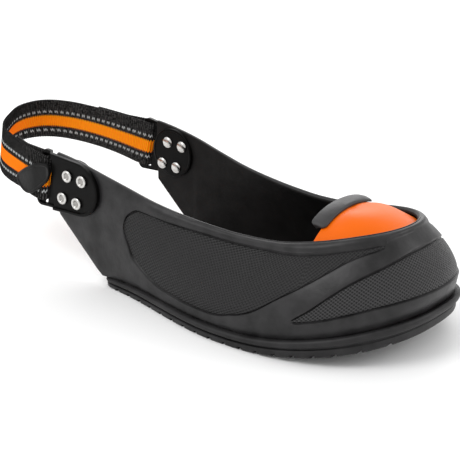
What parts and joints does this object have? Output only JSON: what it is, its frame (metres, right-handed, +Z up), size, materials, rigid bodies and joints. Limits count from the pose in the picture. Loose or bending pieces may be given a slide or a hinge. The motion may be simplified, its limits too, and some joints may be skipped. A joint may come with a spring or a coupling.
{
  "type": "safety toe overshoe",
  "caption": "Moulded rubber safety overshoe for the front of a shoe, with a hard toe cap under an open collar, a lugged sole, low open heel and a webbing heel strap riveted to two side wings.",
  "frame": {"origin": "on the floor, under the middle of the whole shoe with its strap", "axes": "+X towards the toe, +Y towards the far side as seen in the picture, +Z up"},
  "size_m": [0.344, 0.1326, 0.0777],
  "materials": {
    "sole_rubber": "matte moulded rubber with a fine grain",
    "moulded_rubber": "satin moulded rubber, smooth bands and finely hatched sunk panels",
    "orange_enamel": "gloss orange enamel on a pressed aluminium cap",
    "webbing": "black woven webbing with an orange stripe and two pale dashed lines",
    "soft_patch": "soft black moulded patch",
    "black_plastic": "satin black moulded plastic",
    "nickel": "bright nickel plating"
  },
  "bodies": {
    "root": {"outsole": "sole_rubber", "upper": "moulded_rubber", "toe_cap": "orange_enamel", "cap_trim": "moulded_rubber", "strap": "webbing", "strap_badge": "soft_patch", "bracket_near": "black_plastic", "bracket_far": "black_plastic", "backing_plate_near": "black_plastic", "backing_plate_far": "black_plastic", "rivet_near_1": "nickel", "rivet_near_2": "nickel", "rivet_near_3": "nickel", "rivet_near_4": "nickel", "rivet_far_1": "nickel", "rivet_far_2": "nickel", "rivet_far_3": "nickel", "rivet_far_4": "nickel"}
  },
  "joints": []
}
